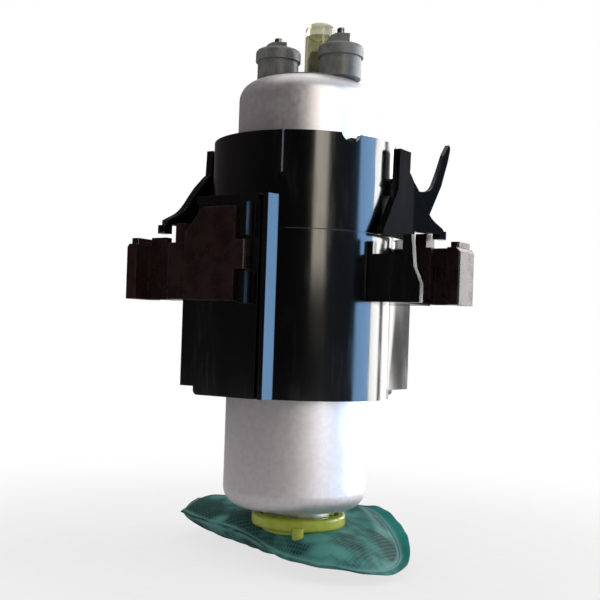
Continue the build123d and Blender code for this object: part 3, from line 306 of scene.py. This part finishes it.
def weigh(tree, first, second, share):
    """The sum of two values, of which share is the first one's weight."""
    scaled = combine(tree, "MULTIPLY", first, share)
    return combine(tree, "ADD", scaled, combine(tree, "MULTIPLY", second, 1 - share))


def project(tree, vector, way):
    """How far a vector reaches along a level direction."""
    return add(tree, "VectorMath", {0: vector, 1: tuple(way)}, operation="DOT_PRODUCT").outputs["Value"]


def bump(tree, height, depth, strength, normal=None):
    """A normal disturbed by a height of 0 to 1 that is depth metres deep."""
    inputs = {"Height": height, "Distance": depth, "Strength": strength}
    if normal:
        inputs["Normal"] = normal
    return add(tree, "Bump", inputs).outputs["Normal"]


def edges(tree, radius):
    """1 along sharp edges, 0 on open faces."""
    rounded = add(tree, "Bevel", {"Radius": radius}, samples=EDGE_SAMPLES).outputs["Normal"]
    flat = add(tree, "NewGeometry", {}).outputs["Normal"]
    along = add(tree, "VectorMath", {0: rounded, 1: flat}, operation="DOT_PRODUCT").outputs["Value"]
    return remap(tree, along, EDGE_START, EDGE_FULL)


def specks(tree, spacing, size, share):
    """Small round marks, on a share of the cells of a lattice."""
    cells = add(tree, "TexVoronoi", {"Vector": place(tree), "Scale": 1 / spacing})
    near = remap(tree, cells.outputs["Distance"], size / spacing, 0.5 * size / spacing)
    pick = add(tree, "SeparateColor", {"Color": cells.outputs["Color"]}).outputs["Red"]
    return combine(tree, "MULTIPLY", near, combine(tree, "LESS_THAN", pick, share))


def new_material(name):
    """A material with its node tree and its Principled shader."""
    material = bpy.data.materials.new(name)
    material.use_nodes = True
    tree = material.node_tree
    return material, tree, tree.nodes["Principled BSDF"]


def aluminium():
    """Satin drawn aluminium: fine upright drawing lines, a soft mottle and a few dark pits."""
    material, tree, shader = new_material("can_aluminium")
    mottle = noise(tree, 0.0016, 5.0)
    drawn = noise(tree, 0.0006, 4.0, (1, 1, 0.06))
    cloud = noise(tree, 0.018, 2.0)
    pits = specks(tree, spacing=0.013, size=0.00040, share=0.022)
    clean = blend_colours(tree, spread(tree, mottle), *CAN_GREYS)
    worn = blend_colours(tree, remap(tree, cloud, 0.35, 0.75, 0, 0.4), clean, CAN_CLOUD)
    put(tree, shader.inputs["Base Color"], blend_colours(tree, pits, worn, CAN_PIT))
    shader.inputs["Metallic"].default_value = 0.80
    grain = weigh(tree, mottle, drawn, 0.5)
    put(tree, shader.inputs["Roughness"], spread(tree, grain, 0.38, 0.50))
    put(tree, shader.inputs["Normal"], bump(tree, grain, 0.00002, 0.25))
    return material


def black_plastic():
    """Gloss black moulding: fine scuffs, dust and rubbed edges."""
    material, tree, shader = new_material("carrier_black")
    flow = noise(tree, 0.012, 3.0, (1, 1, 0.35))
    scuffs = noise(tree, 0.0011, 6.0, (1, 1, 0.12))
    rub = remap(tree, combine(tree, "MULTIPLY", flow, scuffs), 0.26, 0.44)
    dust = specks(tree, spacing=0.0034, size=0.00020, share=0.18)
    body = blend_colours(tree, rub, *CARRIER_BLACKS)
    dusted = blend_colours(tree, combine(tree, "MULTIPLY", dust, 0.4), body, CARRIER_DUST)
    edged = blend_colours(tree, edges(tree, 0.0004), dusted, CARRIER_EDGE)
    put(tree, shader.inputs["Base Color"], edged)
    shader.inputs["Specular IOR Level"].default_value = 1.0
    gloss = spread(tree, flow, 0.12, 0.17)
    rubbed = combine(tree, "ADD", gloss, combine(tree, "MULTIPLY", rub, 0.06))
    put(tree, shader.inputs["Roughness"], rubbed)
    ripple = bump(tree, flow, 0.00005, 0.3)
    put(tree, shader.inputs["Normal"], bump(tree, scuffs, 0.000006, 0.3, ripple))
    return material


def brown_plastic():
    """Dark red-brown acetal: satin, with a faint flow mottle and paler edges."""
    material, tree, shader = new_material("shoe_brown")
    mottle = noise(tree, 0.0045, 4.0)
    grain = noise(tree, 0.00035, 3.0)
    body = blend_colours(tree, spread(tree, mottle), *SHOE_BROWNS)
    worn = combine(tree, "MULTIPLY", edges(tree, 0.0005), remap(tree, mottle, 0.35, 0.65, 0.3, 0.9))
    put(tree, shader.inputs["Base Color"], blend_colours(tree, worn, body, SHOE_EDGE))
    put(tree, shader.inputs["Roughness"], spread(tree, mottle, 0.22, 0.34))
    put(tree, shader.inputs["Normal"], bump(tree, grain, 0.00003, 0.4, bump(tree, mottle, 0.0001, 0.3)))
    return material


def grey_plastic(name, dark, light, roughness):
    """Glass-filled plastic: a satin grey with short pale fibres near its surface."""
    material, tree, shader = new_material(name)
    mottle = noise(tree, 0.0030, 4.0)
    fibres = noise(tree, 0.00045, 2.0, (1, 1, 0.3))
    tone = weigh(tree, mottle, fibres, 0.65)
    body = blend_colours(tree, remap(tree, tone, 0.35, 0.65), dark, light)
    put(tree, shader.inputs["Base Color"], blend_colours(tree, edges(tree, 0.0003), body, light))
    put(tree, shader.inputs["Roughness"], spread(tree, mottle, roughness - 0.06, roughness + 0.08))
    put(tree, shader.inputs["Normal"], bump(tree, fibres, 0.00003, 0.5))
    return material


def rubber():
    """Matt black rubber with a fine bloom."""
    material, tree, shader = new_material("damper_rubber")
    bloom = noise(tree, 0.0022, 5.0)
    grain = noise(tree, 0.0003, 3.0)
    tone = remap(tree, bloom, 0.35, 0.7)
    put(tree, shader.inputs["Base Color"], blend_colours(tree, tone, *RUBBER_BLACKS))
    put(tree, shader.inputs["Roughness"], spread(tree, bloom, 0.65, 0.85))
    put(tree, shader.inputs["Normal"], bump(tree, grain, 0.00005, 0.6))
    return material


def clear_plastic(name, thin, thick, transmission, roughness, subsurface=0.0):
    """Translucent plastic with a faint cloudiness."""
    material, tree, shader = new_material(name)
    cloud = noise(tree, 0.0040, 4.0)
    grain = noise(tree, 0.0004, 3.0)
    put(tree, shader.inputs["Base Color"], blend_colours(tree, spread(tree, cloud), thin, thick))
    put(tree, shader.inputs["Roughness"], spread(tree, cloud, roughness, roughness + 0.12))
    shader.inputs["Transmission Weight"].default_value = transmission
    shader.inputs["Subsurface Weight"].default_value = subsurface
    shader.inputs["Subsurface Radius"].default_value = CLEAR_SCATTER
    shader.inputs["Subsurface Scale"].default_value = 1.0
    shader.inputs["IOR"].default_value = CLEAR_IOR
    put(tree, shader.inputs["Normal"], bump(tree, grain, 0.00002, 0.3))
    return material


def metal(name, dark, light, roughness, grain_size=0.0005, stretch=(1, 1, 1)):
    """Machined, sintered or wound metal, by the size and stretch of its grain."""
    material, tree, shader = new_material(name)
    grain = noise(tree, grain_size, 4.0, stretch)
    cloud = noise(tree, 0.006, 3.0)
    tone = weigh(tree, grain, cloud, 0.5)
    body = blend_colours(tree, remap(tree, tone, 0.35, 0.65), dark, light)
    put(tree, shader.inputs["Base Color"], body)
    shader.inputs["Metallic"].default_value = 1.0
    put(tree, shader.inputs["Roughness"], spread(tree, tone, roughness - 0.06, roughness + 0.1))
    put(tree, shader.inputs["Normal"], bump(tree, grain, 0.00003, 0.5))
    return material


def mineral(name, dark, light):
    """Sintered ferrite or pressed carbon: dark, matt and pitted."""
    material, tree, shader = new_material(name)
    grain = noise(tree, 0.0006, 6.0)
    put(tree, shader.inputs["Base Color"], blend_colours(tree, spread(tree, grain), dark, light))
    put(tree, shader.inputs["Roughness"], spread(tree, grain, 0.5, 0.7))
    put(tree, shader.inputs["Normal"], bump(tree, grain, 0.00006, 0.6))
    return material


def mesh_cloth():
    """Woven nylon mesh: crossing pale threads, cloudy patches, a paler weld line and a rim brightened
    by a painted backlight.
    """
    material, tree, shader = new_material("filter_mesh")
    flat = add(tree, "TexCoord", {}).outputs["UV"]
    # One wave of this texture takes up a length of pi / 10 over its scale
    inputs = {
        "Vector": flat,
        "Scale": pi / 10 / WEAVE_PITCH,
        "Distortion": 0.8,
        "Detail": 1.0,
        "Detail Scale": 0.3,
    }
    threads = []
    for direction in ("X", "Y"):
        wave = add(tree, "TexWave", inputs, bands_direction=direction, wave_profile="SIN")
        threads.append(wave.outputs["Fac"])
    weave = combine(tree, "MAXIMUM", *threads)
    crests = remap(tree, weave, 0.35, 0.85)
    cloud = noise(tree, 0.016, 2.0)
    blotch = noise(tree, 0.0042, 5.0)
    tone = weigh(tree, cloud, blotch, 0.7)
    cloth = blend_colours(tree, remap(tree, tone, 0.41, 0.61), *SOCK_GREENS)
    woven = blend_colours(tree, combine(tree, "MULTIPLY", crests, 0.20), cloth, SOCK_THREAD)
    # The rim's painted backlight: a brighter teal where light would shine through the thin cloth
    rim = add(tree, "Attribute", {}, attribute_name="rim").outputs["Fac"]
    weld = add(tree, "Attribute", {}, attribute_name="weld").outputs["Fac"]
    with_rim_backlight = blend_colours(tree, rim, woven, SOCK_RIM_BACKLIGHT)
    put(tree, shader.inputs["Base Color"], blend_colours(tree, weld, with_rim_backlight, SOCK_WELD))
    put(tree, shader.inputs["Roughness"], remap(tree, weave, 0.2, 0.9, 0.75, 0.60))
    shader.inputs["Specular IOR Level"].default_value = 0.12
    soft = bump(tree, blotch, 0.0004, 0.30)
    put(tree, shader.inputs["Normal"], bump(tree, weave, 0.00004, 0.20, soft))
    return material


def make_materials():
    """Every slot's material, by the slot's name."""
    return {
        "can_aluminium": aluminium(),
        "carrier_black": black_plastic(),
        "shoe_brown": brown_plastic(),
        "damper_rubber": rubber(),
        "end_cap_grey": grey_plastic("end_cap_grey", *CAP_GREYS, 0.42),
        "nipple_grey": grey_plastic("nipple_grey", *NIPPLE_GREYS, 0.45),
        "terminal_metal": metal("terminal_metal", *STUD_GREYS, 0.35),
        "transit_cap_clear": clear_plastic("transit_cap_clear", *TRANSIT_CAP_TINTS, 0.85, 0.08),
        "inlet_ring_yellow": clear_plastic("inlet_ring_yellow", *INLET_RING_TINTS, 0.35, 0.14, 0.25),
        "filter_mesh": mesh_cloth(),
        "steel": metal("steel", *STEEL_GREYS, 0.30, 0.0004, (1, 1, 0.1)),
        "magnet_ferrite": mineral("magnet_ferrite", *FERRITE_GREYS),
        "copper": metal("copper", *COPPER_REDS, 0.35, 0.0005, (1, 1, 0.05)),
        "bronze": metal("bronze", *BRONZE_BROWNS, 0.40),
        "carbon": mineral("carbon", *CARBON_BLACKS),
    }


def dress_nodes(materials):
    """Gives each CAD node its slot's material, and rounds the edges of the moulded ones."""
    for part in frame["record"]["subparts"]:
        node = frame["nodes"][part["node"]]
        for held in node.material_slots:
            held.material = materials[part["material_slot"]]
        width = BEVELS.get(part["node"])
        if width:
            weld = node.modifiers.new("weld", "WELD")
            weld.merge_threshold = WELD_REACH
            rounding = node.modifiers.new("rounding", "BEVEL")
            rounding.width = width
            rounding.segments = BEVEL_STEPS
            rounding.limit_method = "ANGLE"
            rounding.angle_limit = BEVEL_ANGLE
            rounding.use_clamp_overlap = True
            # The widest faces round a corner settle its normal, so that flats and rounds stay true
            shading = node.modifiers.new("shading", "WEIGHTED_NORMAL")
            shading.mode = "FACE_AREA_WITH_ANGLE"
            shading.weight = NORMAL_WEIGHT
            shading.keep_sharp = False


# Filter bag

def round_outline(share):
    """A point on the closed curve through the outline's corners, share of the way round."""
    count = len(SOCK_OUTLINE)
    where = share * count
    first = int(floor(where))
    t = where - first
    before, start, end, after = (Vector(SOCK_OUTLINE[(first + step) % count]) for step in (-1, 0, 1, 2))
    return 0.5 * (2 * start + (end - before) * t + (2 * before - 5 * start + 4 * end - after) * t ** 2
                  + (3 * start - before - 3 * end + after) * t ** 3)


def hump(value, middle, width):
    """A smooth bump of height 1 round one value."""
    away = abs(value - middle) / width
    return 0.5 + 0.5 * cos(pi * away) if away < 1 else 0.0


def rightness(angle):
    """1 on the side of the bag that has the wide rim, 0 on the rest of it."""
    away = (angle - MARGIN_MIDDLE + pi) % (2 * pi) - pi
    return hump(away, 0, MARGIN_SPREAD)


def sock_relief(x, y, angle, share, top):
    """How far the cloth stands off its smooth form at one place: puckers, creases and sags."""
    pucker = sin(17 * angle + 2.2 * sin(3 * angle + 0.7)) + 0.6 * sin(29 * angle + 1.9 * sin(5 * angle))
    uneven = 0.5 + 0.5 * sin(4 * angle + 0.9)
    relief = SOCK_PUCKER * pucker * uneven * share ** 5
    sag = sin(150 * x + 1.1) * sin(190 * y + 0.4) + 0.4 * sin(420 * x - 250 * y)
    relief += share * SOCK_SAG * sag
    if top:
        slope = CREASE_INNER if share < CREASE_SHARE else CREASE_OUTER
        ridge = max(0.0, 1 - abs(share - CREASE_SHARE) / slope)
        relief += CREASE_HIGH * ridge * rightness(angle)
    return relief


def make_sock(materials):
    """The mesh bag: a slack pillow of two sheets welded together, flat below, with a rim all round."""
    middle = Vector(SOCK_MIDDLE)
    pivot = Vector(SOCK_PIVOT)
    tilt = Matrix.Translation(pivot) @ Matrix.Rotation(SOCK_TILT, 4, Vector(SOCK_TILT_WAY).normalized())
    tilt = tilt @ Matrix.Translation(-pivot)
    points, flats, rim_backlights, welds, rows = [], [], [], [], []
    outline = [round_outline(step / SOCK_STEPS) for step in range(SOCK_STEPS)]
    reach = [(point.xy - middle).length for point in outline]
    ways = [(point.xy - middle).normalized() for point in outline]
    angles = [atan2(way.y, way.x) for way in ways]
    margins = [MARGIN_NARROW + (MARGIN_WIDE - MARGIN_NARROW) * rightness(angle) for angle in angles]

    def keep(point, flat, rim, weld):
        """Adds a point, with its place on the flat cloth, its share of the rim's painted backlight and
        its share of weld.
        """
        points.append(point)
        flats.append(flat)
        rim_backlights.append(rim)
        welds.append(weld)
        return len(points) - 1

    def plane_point(step, along):
        """A point of the tilted sheet, lifted towards its outline."""
        plan = middle + ways[step] * along
        lift = outline[step].z * (along / reach[step]) ** 2
        return tilt @ Vector((plan.x, plan.y, SOCK_SEAM_Z + lift))

    def face_row(t, top):
        """A ring of points on the upper or the lower sheet, at share t of the way out to the weld."""
        row = []
        for step, angle in enumerate(angles):
            along = (reach[step] - margins[step]) * t
            point = plane_point(step, along)
            relief = sock_relief(point.x, point.y, angle, t, top) * min(1, RELIEF_FADE * (1 - t))
            if top:
                away = hypot(point.x - SOCK_PIVOT[0], point.y - SOCK_PIVOT[1])
                collar = INLET_LIFT * hump(away, INLET_REACH, INLET_SLOPE)
                rise = SOCK_TOP_HIGH * (1 - t ** SOCK_TOP_FULLNESS) ** SOCK_TOP_SOFTNESS
                rise += collar * min(1, COLLAR_FADE * (1 - t))
                point.z += rise + relief
            else:
                scallop = SOCK_SCALLOP * sin(19 * angle + 1.6 * sin(2 * angle)) * t ** 3
                full = min(1.0, (1 - t ** SOCK_BASE_FULLNESS) ** 0.5 * (1 + scallop))
                rise = point.z - SOCK_BASE_Z
                point.z = SOCK_BASE_Z + rise * (1 - full) + abs(relief)
            flat = ways[step] * (along + abs(rise) * SOCK_SLACK * t)
            row.append(keep(point, flat, 0.0, hump(t, 1.0, WELD_LINE)))
        rows.append(row)

    def rim_row(share, lift, weld):
        """A ring of points on the rim, at a share of the way from the weld to the rim's edge."""
        row = []
        for step, angle in enumerate(angles):
            wave = MARGIN_WAVE * sin(7 * angle + 0.5) + MARGIN_RIPPLE * sin(23 * angle)
            along = reach[step] - margins[step] * (1 - share)
            point = plane_point(step, along)
            point.z += lift + wave * share
            # Painted backlight on the wide side of the rim, as if light shone through the thin cloth
            rim = min(1.0, RIM_BACKLIGHT_FADE * share) * rightness(angle)
            row.append(keep(point, ways[step] * along, rim, weld))
        rows.append(row)

    # The rings crowd together towards the weld, where the cloth bends most
    steps = [1 - (1 - k / SOCK_RINGS) ** RING_CROWDING for k in range(1, SOCK_RINGS)]
    for t in steps:
        face_row(t, True)
    half = MARGIN_THICK / 2
    rim_row(0.02, half, 0.7)
    rim_row(0.10, half + SEAM_RIDGE, 1.0)
    rim_row(0.22, half, 0.4)
    for share in (0.45, 0.7, 0.9):
        rim_row(share, half, 0.0)
    rim_row(1.0, half * MARGIN_EDGE, 0.0)
    rim_row(1.0, -half * MARGIN_EDGE, 0.0)
    for share in (0.9, 0.7, 0.45):
        rim_row(share, -half, 0.0)
    rim_row(0.22, -half, 0.4)
    rim_row(0.02, -half, 0.7)
    for t in reversed(steps):
        face_row(t, False)

    faces = []
    for upper, lower in zip(rows, rows[1:]):
        for step in range(SOCK_STEPS):
            nxt = (step + 1) % SOCK_STEPS
            faces.append((upper[step], lower[step], lower[nxt], upper[nxt]))
    for row, turned in ((rows[0], False), (rows[-1], True)):
        ring = [points[index] for index in row]
        centre = keep(sum(ring, Vector()) / SOCK_STEPS, Vector((0, 0)), 0.0, 0.0)
        for step in range(SOCK_STEPS):
            pair = (row[step], row[(step + 1) % SOCK_STEPS])
            faces.append((centre, *pair[::-1]) if turned else (centre, *pair))

    mesh = bpy.data.meshes.new("mesh_bag")
    mesh.from_pydata([tuple(point) for point in points], [], faces)
    unwrapped = mesh.uv_layers.new(name="cloth")
    for loop in mesh.loops:
        unwrapped.data[loop.index].uv = flats[loop.vertex_index]
    for name, values in (("rim", rim_backlights), ("weld", welds)):
        layer = mesh.attributes.new(name, "FLOAT", "POINT")
        layer.data.foreach_set("value", values)
    mesh.shade_smooth()
    bag = bpy.data.objects.new("mesh_bag", mesh)
    bpy.context.scene.collection.objects.link(bag)
    mesh.materials.append(materials["filter_mesh"])
    rounding = bag.modifiers.new("rounding", "SUBSURF")
    rounding.levels = 1
    rounding.render_levels = 1
    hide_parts("filter_sock")
    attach(bag, "carrier")


# Studio

def add_lamp(name, wide, high, radiance, location):
    """An area lamp that the camera doesn't see. Its power follows from its size and its radiance."""
    data = bpy.data.lights.new(name, "AREA")
    data.shape = "RECTANGLE"
    data.size = wide
    data.size_y = high
    brightest = max(radiance)
    data.energy = brightest * pi * wide * high
    data.color = [part / brightest for part in radiance]
    lamp = bpy.data.objects.new(name, data)
    bpy.context.scene.collection.objects.link(lamp)
    lamp.location = location
    lamp.visible_camera = False
    return lamp


def make_lamp(name, turn, size, height, radiance, card):
    """A tall card or softbox that faces the pump."""
    way = turned_way(turn)
    lamp = add_lamp(name, *size, radiance, way * LAMP_DISTANCE + Vector((0, 0, height)))
    lamp.rotation_mode = "QUATERNION"
    lamp.rotation_quaternion = (-way).to_track_quat("-Z", "Y")
    lamp.visible_diffuse = not card
    lamp.visible_glossy = card
    return lamp


def make_lamps():
    """The cards, the softboxes and a wide soft light overhead."""
    shaded = bpy.data.collections.new("shaded_from_cards")
    for name in SHADED:
        shaded.objects.link(frame["nodes"][name])
    for member in shaded.collection_objects:
        member.light_linking.link_state = "EXCLUDE"
    for name, placing in CARDS.items():
        make_lamp(name, *placing, card=True).light_linking.receiver_collection = shaded
    lit = bpy.data.collections.new("lit_by_can_card")
    lit.objects.link(frame["nodes"]["pump_can"])
    make_lamp("can_card", *CAN_CARD, card=True).light_linking.receiver_collection = lit
    for name, placing in SOFTBOXES.items():
        make_lamp(name, *placing, card=False)
    add_lamp("top_light", TOP_SIZE, TOP_SIZE, (TOP_RADIANCE,) * 3, (0, 0, TOP_HEIGHT))


def seen_directly(tree):
    """The light path, and 1 for rays from the camera and for those that clear surfaces send on."""
    path = add(tree, "LightPath", {})
    seen = combine(tree, "MAXIMUM", path.outputs["Is Camera Ray"], path.outputs["Is Transmission Ray"])
    return path, seen


def make_world():
    """White to the camera, a room with pale and dark walls to glossy surfaces, and soft to the rest."""
    world = bpy.data.worlds.new("studio")
    world.use_nodes = True
    bpy.context.scene.world = world
    tree = world.node_tree
    way = add(tree, "TexCoord", {}).outputs["Generated"]
    forward = project(tree, way, turned_way(0))
    across = project(tree, way, turned_way(90))
    turn = combine(tree, "ARCTAN2", across, forward)
    share = add(tree, "MapRange", {"Value": turn, "From Min": -pi, "From Max": pi}).outputs["Result"]
    ramp = add(tree, "ValToRGB", {"Fac": share})
    ramp.color_ramp.interpolation = "EASE"
    stops = ramp.color_ramp.elements
    while len(stops) > 1:
        stops.remove(stops[-1])
    stops[0].position = 0.0
    stops[0].color = (*ROOM[0][1], 1)
    for degrees, colour in ROOM[1:]:
        stops.new((degrees + 180) / 360).color = (*colour, 1)
    path, seen = seen_directly(tree)
    soft = (WORLD_DIFFUSE, WORLD_DIFFUSE, WORLD_DIFFUSE)
    room = blend_colours(tree, path.outputs["Is Glossy Ray"], soft, ramp.outputs["Color"])
    colour = blend_colours(tree, seen, room, (1.0, 1.0, 1.0))
    put(tree, tree.nodes["Background"].inputs["Color"], colour)
    tree.nodes["Background"].inputs["Strength"].default_value = 1.0


def make_floor(height):
    """A plain pale floor that keeps the pump's shadow and fades to white further off."""
    mesh = bpy.data.meshes.new("floor")
    corners = [(-1, -1), (1, -1), (1, 1), (-1, 1)]
    mesh.from_pydata([(x * FLOOR_HALF, y * FLOOR_HALF, height) for x, y in corners], [], [(0, 1, 2, 3)])
    ground = bpy.data.objects.new("floor", mesh)
    bpy.context.scene.collection.objects.link(ground)
    material, tree, shader = new_material("floor_paper")
    mesh.materials.append(material)
    paper = spread(tree, noise(tree, 0.004, 4.0))
    put(tree, shader.inputs["Base Color"], blend_colours(tree, paper, *FLOOR_GREYS))
    shader.inputs["Roughness"].default_value = 0.9
    spot = add(tree, "TexCoord", {}).outputs["Object"]
    away = add(tree, "VectorMath", {0: spot}, operation="LENGTH").outputs["Value"]
    fade = remap(tree, away, FLOOR_NEAR, FLOOR_FAR, FLOOR_GLOW, 1.0)
    beside = project(tree, spot, turned_way(FLOOR_LIT_TURN))
    bright = remap(tree, beside, FLOOR_LIT_FROM, FLOOR_LIT_TO)
    path, seen = seen_directly(tree)
    mirrored = combine(tree, "MULTIPLY", path.outputs["Is Glossy Ray"], bright)
    shown = combine(tree, "MAXIMUM", seen, mirrored)
    glow = add(tree, "Emission", {"Color": (1, 1, 1, 1), "Strength": 1.0}).outputs[0]
    share = combine(tree, "MULTIPLY", fade, shown)
    mixed = add(tree, "MixShader", {0: share, 1: shader.outputs[0], 2: glow})
    tree.links.new(mixed.outputs[0], tree.nodes["Material Output"].inputs["Surface"])
    ground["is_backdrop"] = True


def main():
    """The camera, the looks of every piece, the bag, the lamps, the room and the floor."""
    make_camera()
    bpy.context.scene.view_settings.view_transform = "Standard"
    materials = make_materials()
    dress_nodes(materials)
    make_sock(materials)
    make_lamps()
    make_world()
    make_floor(min(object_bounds()[0].z, cad_low.z) - FLOOR_DROP)


main()
